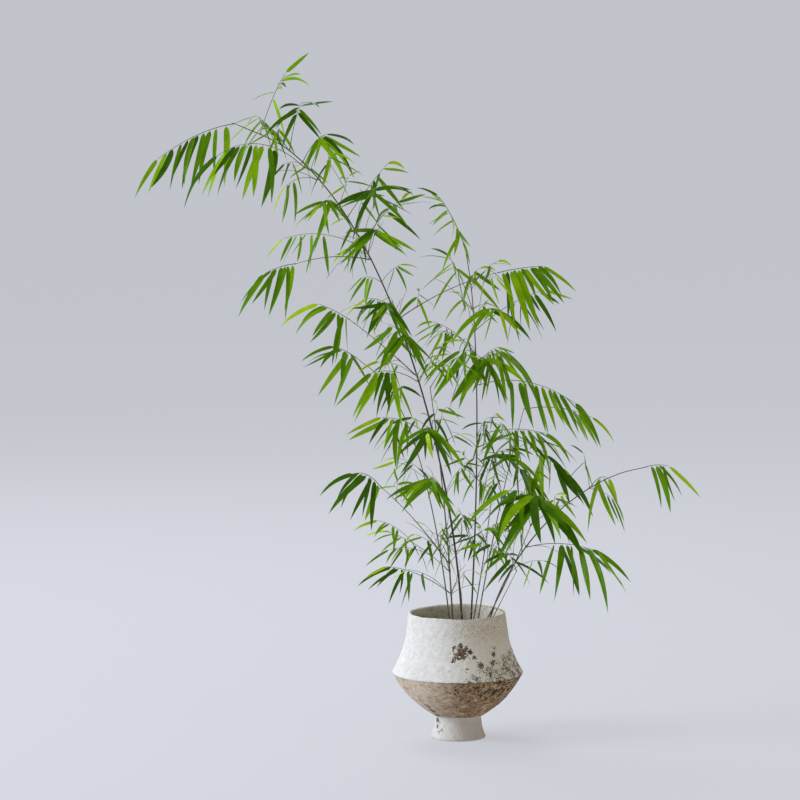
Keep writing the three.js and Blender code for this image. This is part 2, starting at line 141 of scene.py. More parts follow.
def curve_points(start, by, end, steps):
    """Places on the pot's outline, (radius, height) in mm, from one place to another by way of a third."""
    shares = [step / steps for step in range(steps + 1)]
    return [
        tuple((1 - t) ** 2 * a + 2 * t * (1 - t) * b + t * t * c for a, b, c in zip(start, by, end))
        for t in shares
    ]


# The outline runs up the outside from the foot's edge, over the lip, and down the inside to the bowl's floor.
waist, keel, rim, inner_keel = (37.5, 36), (107.5, 109), (80, 205.5), (102.5, 109)
outline = [
    (42, 0), (44.2, 0.7), *curve_points((45, 3), (38, 14), waist, 16),
    *curve_points(waist, (85, 62), keel, 46)[1:-1],
    (107.2, 108.2), (107.5, 109.2), (106.9, 110.5),
    *curve_points((106.0, 112), (83, 150), rim, 54)[1:],
    (79.6, 207.2), (78.6, 208), (77, 207.9), (75.9, 207), (75.2, 205.5),
    *curve_points((75, 203), (78, 150), inner_keel, 16)[1:],
    *curve_points(inner_keel, (80, 62), (30, 50), 14)[1:],
]


def turned_body(name, outline, facets):
    """A closed body of round section, raised ring by ring from its outline of radii and heights in mm."""
    bpy.ops.object.select_all(action="DESELECT")
    radius, height = outline[0]
    bpy.ops.mesh.primitive_circle_add(vertices=facets, radius=radius * MM, fill_type="NGON")
    made = bpy.context.object
    made.name = name
    bpy.ops.object.mode_set(mode="EDIT")
    bpy.ops.mesh.select_all(action="SELECT")
    for wider, higher in outline[1:]:
        bpy.ops.mesh.extrude_region_move(TRANSFORM_OT_translate={"value": (0, 0, (higher - height) * MM)})
        bpy.ops.transform.resize(
            value=(wider / radius, wider / radius, 1), center_override=(0, 0, higher * MM)
        )
        radius, height = wider, higher
    bpy.ops.mesh.select_all(action="SELECT")
    bpy.ops.mesh.normals_make_consistent(inside=False)
    bpy.ops.object.mode_set(mode="OBJECT")
    bpy.ops.object.shade_smooth()
    return made


pot = turned_body("stoneware_pot", outline, facets=288)
# Hands leave low swellings, and the brush and the coarse clay leave dabs, with their size and depth in mm.
for name, size, depth in (("hand_swellings", 42, 2.2), ("brush_dabs", 10, 1.3), ("coarse_clay", 4, 0.8)):
    texture = bpy.data.textures.new(name, "CLOUDS")
    texture.noise_scale = size * MM
    dabs = pot.modifiers.new(name, "DISPLACE")
    dabs.texture, dabs.texture_coords = texture, "LOCAL"
    dabs.strength, dabs.mid_level = depth * MM, 0.5
    bpy.ops.object.modifier_apply(modifier=name)
# The rim is slightly wavy and lower at the front left, the bowl leans a little to the left on its foot, and
# the foot is ground flat.
wavy_from, wavy_rise, wave_depth, waves = 150 * MM, 55 * MM, 1.4 * MM, 20
rim_fall_left, rim_fall_front, bowl_lean, lean_from, ground_to = 0.011, 0.013, 0.014, 30 * MM, 0.4 * MM
for vertex in pot.data.vertices:
    x, y, z = vertex.co
    if z > wavy_from:
        share = min((z - wavy_from) / wavy_rise, 1) ** 2
        wave = wave_depth * noise.noise(Vector((x, y, 0)) * waves)
        vertex.co.z += share * (wave + rim_fall_left * x + rim_fall_front * y)
    vertex.co.x -= bowl_lean * max(z - lean_from, 0)
    vertex.co.z = max(vertex.co.z, 0) if z > ground_to else 0

# White kaolin slip on coarse grey-brown stoneware: chalky and matt, thin where it was brushed out, with a
# grain of grog under it. The bare clay is darker and just as dry.
slip, tree, output = new_material("kaolin_slip_on_stoneware")
place = add_node(tree, "ShaderNodeTexCoord").outputs["Object"]
axes = add_node(tree, "ShaderNodeSeparateXYZ", {0: place}).outputs


def grain(size, detail=3, rough=0.5, distort=0.0, drawn_out=(1, 1, 1)):
    """A mottle with grains of some size in mm, drawn out along an axis where its share there is small."""
    where = add_node(tree, "ShaderNodeMapping", {"Vector": place, "Scale": drawn_out}).outputs[0]
    look = {"Scale": 1 / (size * MM), "Detail": detail, "Roughness": rough, "Distortion": distort}
    return add_node(tree, "ShaderNodeTexNoise", {"Vector": where, **look}).outputs["Fac"]


def patches(start, end, *parts, least=0.0, most=1.0, within=()):
    """Where the sum of some mottles or places goes from start to end, and within other patches only."""
    share = parts[0]
    for part in parts[1:]:
        share = add_node(tree, "ShaderNodeMath", {0: share, 1: part}, operation="ADD").outputs[0]
    share = add_node(
        tree, "ShaderNodeMapRange",
        {0: share, 1: start, 2: end, 3: least, 4: most}, interpolation_type="SMOOTHSTEP",
    ).outputs[0]
    for other in within:
        share = add_node(tree, "ShaderNodeMath", {0: share, 1: other}, operation="MULTIPLY").outputs[0]
    return share


def coat(under, over, *shares):
    """One colour laid over another, by the product of its shares."""
    share = shares[0]
    for other in shares[1:]:
        share = add_node(tree, "ShaderNodeMath", {0: share, 1: other}, operation="MULTIPLY").outputs[0]
    return add_node(tree, "ShaderNodeMix", {0: share, 6: under, 7: over}, data_type="RGBA").outputs[2]


def with_spot(others, centre, reach, most):
    """Round spots that fade from their middles out to their reach, with one more. Its place is in mm."""
    away = add_node(
        tree, "ShaderNodeVectorMath", {0: place, 1: [v * MM for v in centre]}, operation="DISTANCE"
    ).outputs["Value"]
    spot = patches(reach * MM, 0.0, away, most=most)
    return add_node(tree, "ShaderNodeMath", {0: others, 1: spot}, operation="MAXIMUM").outputs[0]


# The slip is whiter at the left and warmer at the right, partly its own tone and partly painted warm bounce
# light on its shaded side. It is stained brown under the rim there.
x_place, z_place = axes[0], axes[2]
right_side = patches(-0.045, 0.075, x_place)
white = coat("#e2e2df", "#d1d2ca", patches(0.38, 0.66, grain(10, 5, 0.75)))
white = coat(white, "#b4b1a3", patches(0.54, 0.7, grain(2.6, 5, 0.8, 0.6), most=0.6))
# Warm cream over the right side: partly the slip's own tone, partly painted warm bounce light on the shaded
# side.
white = coat(white, "#c2bda5", right_side, 0.72)
stained = patches(
    0.45, 0.56, grain(2.0, 3, 0.8), within=(patches(-0.055, 0.03, x_place), patches(0.145, 0.19, z_place))
)
white = coat(white, "#9c866c", stained, 0.75)
# The slip on the foot darkens towards the bottom, and more so at the right: painted shade.
painted_foot_shade = patches(-0.034, 0.01, x_place, least=0.1, most=0.6)
white = coat(white, "#9c9286", patches(0.046, 0.03, z_place), painted_foot_shade)
# The bare clay is pale at the left and brown at the right, with the lines and dabs of a stiff brush.
pale_clay = coat("#dccfbf", "#c0ad98", patches(0.34, 0.66, grain(8, 5, 0.7)))
brown_clay = coat("#a58862", "#624a2e", patches(0.4, 0.6, grain(5, 5, 0.72, 0.8)))
clay = coat(pale_clay, brown_clay, patches(-0.075, 0.02, x_place), 0.95)
brushed_here = patches(0.4, 0.6, grain(18, 2))
brush_lines = patches(0.5, 0.6, grain(4, 4, 0.75, 0.9, (0.3, 0.3, 1)), within=(brushed_here,))
clay = coat(clay, "#644b33", brush_lines, 0.6)
clay = coat(clay, "#d3bf9f", patches(0.55, 0.61, grain(6, 4, 0.7, 0.8, (0.4, 0.4, 1))), 0.62)
# Where the clay dragged under the brush it is torn into dark chips, thickest at the front right.
less_at_left = patches(-0.06, 0.012, x_place, least=-0.16, most=0)
more_at_keel = patches(0.062, 0.094, z_place, least=-0.05, most=0.085)
torn = patches(0.6, 0.635, grain(7, 3, 0.65, 0.8, (0.85, 0.85, 1.1)), less_at_left, more_at_keel)
clay = coat(clay, "#30220f", torn, 0.88)
# The slip ends in a broken edge at the keel and again at the foot. Under the keel's edge at the right, a thin
# dark line is painted shade.
edge = add_node(
    tree, "ShaderNodeMath", {0: grain(9, 5, 0.7), 1: 0.006, 2: z_place}, operation="MULTIPLY_ADD"
).outputs[0]
bare_bowl = patches(0.1116, 0.1102, edge, within=(patches(0.0405, 0.0435, edge),))
surface = coat(white, clay, bare_bowl)
painted_shade_under_keel = patches(
    0.1088, 0.1098, edge,
    within=(patches(0.1112, 0.1104, edge), patches(-0.08, 0.0, x_place), patches(0.4, 0.54, grain(7, 3))),
)
# The thin dark line under the keel's edge: painted shade.
surface = coat(surface, "#46382a", painted_shade_under_keel, 0.9)
# The flakes have come off in ragged spots: one broad one at the front with small ones round it, a trail down
# to the right, a few at the foot of the bowl and on the foot, and two at the back. Each has its middle and
# its reach in mm, and how bare it is.
flakes = 0.0
for centre, reach, bare in (
    ((3, -88, 152), 24, 0.62), ((-7, -84, 161), 10, 0.54), ((3, -84, 164), 11, 0.54),
    ((11, -85, 162), 9, 0.5), ((18, -86, 155), 9, 0.58), ((25, -87, 147), 9, 0.54),
    ((-10, -90, 141), 9, 0.48), ((12, -95, 127), 9, 0.46), ((24, -96, 118), 10, 0.46),
    ((35, -89, 134), 12, 0.54), ((58, -65, 159), 6, 0.56), ((57, -69, 149), 9, 0.56),
    ((56, -76, 137), 10, 0.52), ((51, -87, 117), 11, 0.5), ((86, -34, 147), 8, 0.46),
    ((94, -30, 133), 9, 0.44), ((98, -34, 118), 9, 0.46), ((-51, -50, 60), 13, 0.46),
    ((-42, -42, 51), 13, 0.52), ((-34, -35, 43), 11, 0.48), ((-34, -17, 31), 10, 0.5),
    ((-36, -19, 20), 8, 0.46), ((-30, 90, 142), 22, 0.55), ((-88, 45, 118), 18, 0.48),
):
    flakes = with_spot(flakes, centre, reach, bare)
fine_grain, coarse_grain = grain(2.2, 3, 0.7), grain(5, 2, 0.5, 0.8)
ragged = add_node(
    tree, "ShaderNodeMath", {0: fine_grain, 1: 0.9, 2: coarse_grain}, operation="MULTIPLY_ADD"
).outputs[0]
flaked = patches(1.26, 1.3, flakes, ragged)
# Below a slope that falls to the left, between the flakes, the slip is broken up into crumbs.
slope = add_node(tree, "ShaderNodeMath", {0: x_place, 1: 0.45, 2: 0.118}, operation="MULTIPLY_ADD").outputs[0]
below_slope = add_node(tree, "ShaderNodeMath", {0: slope, 1: z_place}, operation="SUBTRACT").outputs[0]
crumbling = patches(
    0.3, 0.62, grain(17, 3, 0.6), least=0.04, most=0.22,
    within=(patches(-0.01, 0.02, below_slope), patches(-0.04, 0.03, x_place), patches(0.1, 0.11, z_place)),
)
crumbled = patches(0.69, 0.72, crumbling, grain(3.2, 3, 0.6, 1.2))
flaked = add_node(tree, "ShaderNodeMath", {0: flaked, 1: crumbled}, operation="MAXIMUM").outputs[0]
# Round the flakes at the right and on the foot, the slip has crackled into a net a few millimetres wide.
wander, waver_size, net_size = 3 * [6 * MM], 5, 8
wavering = add_node(
    tree, "ShaderNodeTexNoise", {"Vector": place, "Scale": 1 / (waver_size * MM), "Detail": 3}
).outputs["Color"]
wavy = add_node(
    tree, "ShaderNodeVectorMath", {0: wavering, 1: wander, 2: place}, operation="MULTIPLY_ADD"
).outputs[0]
net = add_node(
    tree, "ShaderNodeTexVoronoi", {"Vector": wavy, "Scale": 1 / (net_size * MM)}, feature="DISTANCE_TO_EDGE"
).outputs["Distance"]
dry = 0.0
for centre, reach in (
    ((82, -52, 134), 30), ((98, -34, 124), 26), ((66, -80, 118), 22),
    ((-36, -18, 28), 20), ((-30, -28, 14), 15),
):
    dry = with_spot(dry, centre, reach, 1)
dry = add_node(tree, "ShaderNodeMath", {0: dry, 1: grain(6, 3, 0.7)}, operation="MULTIPLY").outputs[0]
crackled = patches(0.1, 0.05, net, within=(patches(0.25, 0.38, dry), 0.74))
flaked = add_node(tree, "ShaderNodeMath", {0: flaked, 1: crackled}, operation="MAXIMUM").outputs[0]
# Small pits all over, most of them in the bare clay at the right.
pitted = patches(0.0, 1.0, right_side, within=(bare_bowl,))
pitted = add_node(tree, "ShaderNodeMath", {0: pitted, 1: 0.1}, operation="MAXIMUM").outputs[0]
pits = patches(0.62, 0.7, grain(2.1, 2), within=(pitted,))
dark = add_node(tree, "ShaderNodeMath", {0: flaked, 1: pits}, operation="MAXIMUM").outputs[0]
iron = coat("#42311f", "#84725c", patches(0.42, 0.6, grain(2.5, 3)))
surface = coat(surface, iron, dark)
# The flakes and the torn chips lie a little lower than the skin round them.
torn_out = add_node(tree, "ShaderNodeMath", {0: torn, 1: bare_bowl}, operation="MULTIPLY").outputs[0]
hollow = add_node(tree, "ShaderNodeMath", {0: flaked, 1: torn_out}, operation="MAXIMUM").outputs[0]
sunk = add_node(tree, "ShaderNodeMath", {0: hollow, 1: -0.7}, operation="MULTIPLY").outputs[0]
raised = add_node(
    tree, "ShaderNodeMath", {0: grain(1.6, 5, 0.75), 1: 0.8, 2: sunk}, operation="MULTIPLY_ADD"
).outputs[0]
relief = add_node(
    tree, "ShaderNodeBump", {"Height": raised, "Strength": 0.8, "Distance": 0.9 * MM}
).outputs[0]
chalk = add_node(
    tree, "ShaderNodeBsdfPrincipled",
    {"Base Color": surface, "Roughness": 0.92, "Specular IOR Level": 0.25, "Normal": relief},
)
tree.links.new(chalk.outputs[0], output.inputs[0])
pot.data.materials.append(slip)

# Inside, the clay is unslipped and stained by damp soil and algae: grey-olive and dull. At the right it is
# paler, partly slip that ran over the lip and partly painted light where the window lights the inner wall.
damp, tree, output = new_material("damp_bare_stoneware")
place = add_node(tree, "ShaderNodeTexCoord").outputs["Object"]
x_place = add_node(tree, "ShaderNodeSeparateXYZ", {0: place}).outputs[0]
inner = coat("#cbc6b5", "#a5a08c", patches(0.35, 0.68, grain(5, 5, 0.7)))
# Paler at the right: partly slip run over the lip, partly painted light on the lit inner wall.
inner = coat(inner, "#f0ede4", patches(0.02, 0.062, x_place), patches(0.3, 0.5, grain(9, 4, 0.7)))
relief = add_node(
    tree, "ShaderNodeBump", {"Height": grain(1.2, 3), "Strength": 0.4, "Distance": 0.5 * MM}
).outputs[0]
dull = add_node(tree, "ShaderNodeBsdfPrincipled", {"Base Color": inner, "Roughness": 0.9, "Normal": relief})
tree.links.new(dull.outputs[0], output.inputs[0])
pot.data.materials.append(damp)
inside_from, inside_to, inside_radius = 45 * MM, 205.5 * MM, 104.5 * MM
for face in pot.data.polygons:
    x, y, z = face.center
    faces_inwards = face.normal.x * x + face.normal.y * y < 0
    if faces_inwards and inside_from < z < inside_to and math.hypot(x, y) < inside_radius:
        face.material_index = 1
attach(pot, "root")
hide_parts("pot")

# The soil: dark potting mix, pressed down by watering, with loose crumbs on it. It is a thick disc that fills
# the pot from wall to wall, made in rings so that its top can be roughened.
soil_height, soil_radius, soil_thickness, soil_rings = 166, 78.3, 16, 29
bpy.ops.object.select_all(action="DESELECT")
bpy.ops.mesh.primitive_circle_add(
    vertices=96, radius=soil_radius * MM, fill_type="NGON",
    location=(0, 0, (soil_height - soil_thickness) * MM),
)
soil = bpy.context.object
soil.name = "potting_soil"
bpy.ops.object.mode_set(mode="EDIT")
bpy.ops.mesh.select_all(action="SELECT")
bpy.ops.mesh.extrude_region_move(TRANSFORM_OT_translate={"value": (0, 0, soil_thickness * MM)})
for _ in range(soil_rings):
    bpy.ops.mesh.inset(thickness=soil_radius * MM / (soil_rings + 2))
bpy.ops.mesh.select_all(action="SELECT")
bpy.ops.mesh.normals_make_consistent(inside=False)
bpy.ops.object.mode_set(mode="OBJECT")
bpy.ops.object.shade_smooth()
crumbs = bpy.data.textures.new("soil_crumbs", "CLOUDS")
crumbs.noise_scale = 5 * MM
pressed = soil.modifiers.new("crumbs", "DISPLACE")
pressed.texture, pressed.texture_coords, pressed.direction = crumbs, "LOCAL", "Z"
pressed.strength, pressed.mid_level = 3 * MM, 0.8
bpy.ops.object.modifier_apply(modifier="crumbs")


def mesh_of(name, parts, material):
    """One object from many small meshes, each with its points in mm and its faces."""
    vertices, faces = [], []
    for points, sides in parts:
        first = len(vertices)
        vertices += [tuple(point * MM) for point in points]
        faces += [tuple(first + corner for corner in side) for side in sides]
    mesh = bpy.data.meshes.new(name)
    mesh.from_pydata(vertices, [], faces)
    mesh.validate()
    made = bpy.data.objects.new(name, mesh)
    bpy.context.scene.collection.objects.link(made)
    mesh.materials.append(material)
    return made


# Peat and composted bark: dark, damp and without gloss, with paler patches.
peat, tree, output = new_material("peat_and_composted_bark")
place = add_node(tree, "ShaderNodeTexCoord").outputs["Object"]
earth = coat("#2b231c", "#5a4a3a", patches(0.38, 0.66, grain(3, 4, 0.7)))
relief = add_node(
    tree, "ShaderNodeBump", {"Height": grain(1.5, 4), "Strength": 0.8, "Distance": MM}
).outputs[0]
crumbly = add_node(
    tree, "ShaderNodeBsdfPrincipled", {"Base Color": earth, "Roughness": 0.95, "Normal": relief}
)
tree.links.new(crumbly.outputs[0], output.inputs[0])
soil.data.materials.append(peat)
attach(soil, "root")
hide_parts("soil")

# The crumbs are lumps of a few faces, each with its own size and shape, that lie half sunk in the soil.
crumb_count, crumbs_reach, crumb_level = 420, 74, soil_height - 1.4
dice = random.Random(41)
bpy.ops.mesh.primitive_ico_sphere_add(subdivisions=1, radius=1)
pattern = bpy.context.object
lump_corners = np.array([v.co for v in pattern.data.vertices])
lump_faces = [list(f.vertices) for f in pattern.data.polygons]
bpy.data.objects.remove(pattern)
crumb_parts = []
for _ in range(crumb_count):
    spread, turn = crumbs_reach * math.sqrt(dice.random()), dice.uniform(0, 2 * math.pi)
    size = dice.uniform(0.9, 2.6)
    stretch = np.array([dice.uniform(0.6, 1.5), dice.uniform(0.6, 1.5), dice.uniform(0.4, 0.9)])
    middle = np.array([spread * math.cos(turn), spread * math.sin(turn), crumb_level])
    bumps = np.array([dice.uniform(0.75, 1.2) for _ in lump_corners])[:, None]
    crumb_parts.append((middle + lump_corners * bumps * size * stretch, lump_faces))
chips = mesh_of("soil_crumbs", crumb_parts, peat)
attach(chips, "root")

# The culms: nine thin woody canes of one clump that stand in the soil, with a raised ring and a papery sheath
# at each node. The tall, the middle and the right one are nearly black, the others grey-green.
limb_steps, limb_points, limb_taper, droop_power, gap = 10, 8, 0.42, 6, 0.3
# Each has the place of its foot, its length, how it leans, arches along its length and droops at its tip, the
# way it leans to and how far that turns, and its girth. Lengths are in mm and angles in degrees.
culms = {
    "tall": ((8, -6), 975, 3, 31, 46, 190, -30, 3.6),
    "middle": ((20, 22), 645, 5, 4, 12, 52, 70, 3.2),
    "left": ((-8, -22), 420, 5, 5, 0, 235, -20, 3.2),
    "right": ((44, -8), 408, 12, 58, 14, -20, 30, 2.8),
    "left_arch": ((-12, 10), 498, 6, 16, 42, 150, 20, 2.4),
    "right_upright": ((28, 5), 385, 12, 8, 0, 40, 0, 2.4),
    "right_slant": ((28, -22), 252, 33, -10, 0, -35, 0, 2.4),
    "inner_back": ((22, 40), 300, 16, 2, 0, 50, 20, 2.4),
    "front_low": ((38, -30), 130, 27, 0, 0, -25, 10, 2),
}
up = np.array([0.0, 0.0, 1.0])


def unit(way):
    """The same direction with a length of one."""
    return way / np.linalg.norm(way)


def culm_path(foot, length, lean, arch, droop, heading, turn):
    """The line of a culm: its direction is worked out afresh at every step."""
    path = [np.array([*foot, soil_height + gap], float)]
    for step in range(limb_steps):
        share = (step + 0.5) / limb_steps
        tilt = math.radians(lean + arch * share + droop * share**droop_power)
        compass = math.radians(heading + turn * share)
        way = [math.sin(tilt) * math.cos(compass), math.sin(tilt) * math.sin(compass), math.cos(tilt)]
        path.append(path[-1] + np.array(way) * length / limb_steps)
    return np.array(path)


def bow_path(root, reach, crest, steps):
    """The line of a bough or twig: straight from its root, with its middle lifted by the crest."""
    shares = np.arange(steps + 1)[:, None] / steps
    return root + np.array(reach, float) * shares + up * 4 * crest * shares * (1 - shares)


def station_of(path, share):
    """The point at a share of a path, with the direction there and the level direction across it."""
    place = share * (len(path) - 1)
    step = min(int(place), len(path) - 2)
    along = unit(path[step + 1] - path[step])
    return path[step] + (path[step + 1] - path[step]) * (place - step), along, unit(np.cross(up, along))


def length_of(path):
    """The length of a path along all of its steps."""
    return np.linalg.norm(np.diff(path, axis=0), axis=1).sum()


def radius_at(girth, taper, share):
    """The radius at a share of a limb's length. It tapers evenly from its foot to its tip."""
    return girth / 2 * ((1 - share) + taper * share)


def seat(path, carrier, at, radius):
    """Moves a twig's first point out of its carrier's middle, to a gap clear of its skin or tip."""
    way = unit(path[1] - path[0])
    cosine = abs(station_of(carrier["path"], at)[1] @ way)
    sine = math.sqrt(1 - cosine * cosine)
    thick = radius_at(carrier["girth"], limb_taper, at)
    out = (thick + gap + radius * cosine) / sine if at < 1 else gap + thick * sine
    path[0] = path[0] + way * out


def smoothed(path, per_step):
    """The same path as a line with its corners rounded, with some points for each of its steps."""
    ends = np.vstack([2 * path[0] - path[1], path, 2 * path[-1] - path[-2]])
    points = []
    for step in range(len(path) - 1):
        a, b, c, d = ends[step : step + 4]
        bow, swing = 2 * a - 5 * b + 4 * c - d, 3 * b - a - 3 * c + d
        for part in range(per_step):
            t = part / per_step
            points.append(0.5 * (2 * b + (c - a) * t + bow * t**2 + swing * t**3))
    return np.array([*points, path[-1]])


def point_on(line, share):
    """The point at a share of a smoothed line."""
    place = share * (len(line) - 1)
    step = min(int(place), len(line) - 2)
    return line[step] + (line[step + 1] - line[step]) * (place - step)


limbs = {}
for name, (foot, length, lean, arch, droop, heading, turn, girth) in culms.items():
    limbs[name] = {"path": culm_path(foot, length, lean, arch, droop, heading, turn), "girth": girth}
# The four boughs: the limb that carries each, the share of its length where the bough comes out, how far the
# bough reaches from there, and how far its middle is lifted.
bough_girth = 2
boughs = {
    "long_right": ("tall", 0.55, (165, 40, 75), 10),
    "low_left": ("tall", 0.66, (-120, -30, -5), 8),
    "wing_left": ("left", 0.3, (-110, -40, 130), 8),
    "far_left": ("tall", 0.45, (-110, 40, 90), 3),
}
for name, (limb, at, reach, crest) in boughs.items():
    carrier = limbs[limb]
    root = station_of(carrier["path"], at)[0]
    path = bow_path(root, reach, crest, limb_steps)
    seat(path, carrier, at, bough_girth / 2)
    limbs[name] = {"path": path, "girth": bough_girth, "carrier": limb, "at": at}
for limb in limbs.values():
    limb["line"] = smoothed(limb["path"], limb_points)
    if "carrier" in limb:
        limb["line"][0] = point_on(limbs[limb["carrier"]]["line"], limb["at"])

# The sprays of foliage, by the limb that carries them. Each has the share of the limb's length where it comes
# out, the reach and crest of its stem, the number and length of its leaves, the share of the stem that is
# bare, how far the leaves hang and fan out, and the number of its side twigs.
sprays = {
    "tall": {
        "tip": (1, (-125, -10, -58), 9, 11, 80, 0.1, 1.3, 0, 0),
        "under": (0.84, (-160, -70, 20), 36, 12, 82, 0.35, 1.1, 0.3, 0),
        "crest": (0.92, (-35, 60, 45), 9, 9, 62, 0.4, 1, 0.6, 0),
        "top": (0.95, (42, 20, 102), 9, 7, 66, 0.5, 0.4, 0.3, 0),
        "hand_near": (0.89, (20, -50, 78), 9, 8, 62, 0.7, 1.1, 0.9, 0),
        "hand_far": (0.86, (38, 60, 48), 9, 9, 76, 0.65, 0.9, 0.9, 0),
        "inner": (0.81, (15, -30, 50), 9, 6, 64, 0.5, 1.5, 0.6, 0),
        "node_left": (0.82, (-55, 30, -10), 9, 4, 68, 0.75, 2.2, 0, 0),
        "mid_left": (0.76, (-30, -60, 10), 9, 9, 64, 0.5, 0.9, 0.6, 0),
        "mid_right": (0.74, (66, 60, 88), 3, 6, 58, 0.6, 1.1, 0.3, 0),
        "right_up": (0.69, (65, 90, 70), 9, 6, 62, 0.6, 0.2, 0.4, 0),
        "hand_upper": (0.71, (35, -90, 80), 9, 10, 72, 0.65, 0.8, 1, 0),
        "hand_lower": (0.67, (15, -120, 45), 9, 11, 68, 0.65, 0.7, 1, 0),
        "left_high": (0.68, (-135, 70, 15), 15, 8, 56, 0.5, 1.1, 0.2, 0),
        "palm_near": (0.56, (-15, -70, 20), 9, 11, 62, 0.55, 0.8, 0.8, 1),
        "palm_low": (0.5, (-5, -60, 25), 9, 11, 70, 0.5, 1, 0.8, 1),
        "left_low": (0.44, (-75, -60, 20), 9, 9, 82, 0.5, 1.2, 0.3, 0),
        "fan_left": (0.34, (-85, -40, 40), 9, 9, 72, 0.5, 1, 0.3, 0),
        "fan_near": (0.35, (-10, -90, 10), 9, 10, 80, 0.55, 0.7, 1, 0),
    },
    "long_right": {"tip": (1, (75, 20, 10), 2, 11, 82, 0.1, 1.1, 0.1, 0)},
    "low_left": {"tip": (1, (-50, -20, -15), 3, 8, 84, 0.1, 1.3, 0.1, 0)},
    "far_left": {"tip": (1, (-50, 10, 25), 2, 8, 74, 0.1, 1.2, 0.1, 0)},
    "left_arch": {"tip": (1, (-35, -20, 20), 2, 8, 80, 0.15, 0.8, 0.3, 0)},
    "left": {
        "inner": (0.57, (-25, -60, 35), 9, 11, 76, 0.55, 0.8, 1, 0),
        "low": (0.18, (-105, -45, 52), 9, 8, 60, 0.6, 0.7, 0.4, 0),
        "back": (0.27, (-105, 90, 55), 9, 10, 44, 0.45, 0.7, 0.2, 2),
        "crown": (1, (50, -30, 55), 9, 6, 48, 0.4, 0.9, 0.3, 1),
    },
    "wing_left": {"tip": (1, (-45, -20, 25), 9, 9, 78, 0.1, 0.9, 0.2, 0)},
    "middle": {
        "tip": (1, (-45, 20, 85), 9, 14, 58, 0.08, 0.7, 0.5, 0),
        "riser": (0.83, (-40, 50, 90), 9, 10, 60, 0.6, 0.8, 0.5, 1),
        "hand": (0.81, (40, -80, 20), 9, 9, 70, 0.55, 0.8, 1, 0),
        "far": (0.78, (120, 70, 65), 9, 9, 64, 0.5, 1.2, 0.1, 0),
        "near": (0.72, (-70, 60, 50), 9, 9, 48, 0.4, 0.8, 0.3, 1),
        "palm": (0.69, (15, -90, 15), 9, 12, 84, 0.5, 1.3, 0.9, 3),
        "comb": (0.64, (160, -40, -25), 20, 11, 82, 0.35, 1.2, 0.1, 0),
        "fringe": (0.51, (110, -60, 10), 9, 11, 72, 0.45, 0.9, 0.3, 1),
        "rise": (0.48, (150, 60, -50), 33, 9, 88, 0.72, 0.8, 0.6, 0),
        "small": (0.4, (35, -50, 50), 9, 8, 52, 0.45, 0.7, 0.5, 3),
    },
    "right_upright": {"tip": (1, (110, -40, -10), 9, 8, 64, 0.4, 1, 0.1, 0)},
    "right_slant": {"tip": (1, (-5, -30, 25), 9, 12, 96, 0.15, 1.1, 1, 1)},
    "inner_back": {"tip": (1, (64, 30, -50), 9, 12, 76, 0.5, 0.8, 0.9, 1)},
    "right": {
        "under": (0.41, (112, -60, 2), 9, 11, 94, 0.4, 1, 0.5, 0),
        "tip": (1, (38, -10, 3), 3, 6, 76, 0.1, 1.3, 0.1, 0),
        "mid": (0.76, (35, 60, 10), 9, 4, 78, 0.4, 1.6, 0.3, 0),
    },
    "front_low": {"tip": (1, (-20, -30, 35), 9, 9, 56, 0.2, 0.8, 0.6, 2)},
}

# Cane skin: silica-hard, smooth and faintly waxy, so it has a soft sheen, with a paler bloom in patches.
cane_materials = {}
for name, dark, pale in (("black_cane", "#241d16", "#43382b"), ("green_cane", "#3d4a24", "#6b7148")):
    material, tree, output = new_material(name)
    place = add_node(tree, "ShaderNodeTexCoord").outputs["Object"]
    bloom = coat(dark, pale, patches(0.35, 0.7, grain(6, 4, 0.65)))
    relief = add_node(
        tree, "ShaderNodeBump", {"Height": grain(0.8, 3), "Strength": 0.25, "Distance": 0.2 * MM}
    ).outputs[0]
    skin = add_node(
        tree, "ShaderNodeBsdfPrincipled", {"Base Color": bloom, "Roughness": 0.42, "Normal": relief}
    )
    tree.links.new(skin.outputs[0], output.inputs[0])
    cane_materials[name] = material


def bent_along(piece, line):
    """Bends a straight upright piece along a line in mm, and settles its place into its mesh."""
    guide = bpy.data.curves.new("guide", "CURVE")
    guide.dimensions = "3D"
    spline = guide.splines.new("POLY")
    spline.points.add(len(line) - 1)
    for point, place in zip(spline.points, line):
        point.co = (*(place * MM), 1)
    rail = bpy.data.objects.new("guide", guide)
    bpy.context.scene.collection.objects.link(rail)
    bend = piece.modifiers.new("bend", "CURVE")
    bend.object, bend.deform_axis = rail, "POS_Z"
    bpy.context.view_layer.objects.active = piece
    bpy.ops.object.modifier_apply(modifier="bend")
    bpy.data.objects.remove(rail)


# A node, from below: two rings with a groove between them. Each step has its height over the node in mm and
# how much thicker the cane is there.
node_profile = ((-3, 1), (-1.4, 1.08), (-0.7, 1.32), (-0.1, 1.36), (0.4, 1.06), (1, 1.24), (2.4, 1))
cane_steps, cane_facets, node_room = 60, 10, 4.5


def grow_cane(name, limb, shares, sunk, material):
    """A cane of round section with a ring at each node, bent along its limb's line."""
    line = limb["line"].copy()
    if sunk:
        line = np.vstack([line[0] - unit(line[1] - line[0]) * sunk, line])
    length = length_of(line)
    rings = [(length * step / cane_steps, 1.0) for step in range(cane_steps + 1)]
    for share in shares:
        at = sunk + (length - sunk) * share
        rings = [ring for ring in rings if abs(ring[0] - at) > node_room or ring[0] in (0, length)]
        rings += [(at + higher, swell) for higher, swell in node_profile]
    rings = sorted(ring for ring in rings if 0 <= ring[0] <= length)
    outline = [(radius_at(limb["girth"], limb_taper, at / length) * swell, at) for at, swell in rings]
    cane = turned_body(name, outline, cane_facets)
    bent_along(cane, line)
    cane.data.materials.append(material)
    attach(cane, "root")
    return cane


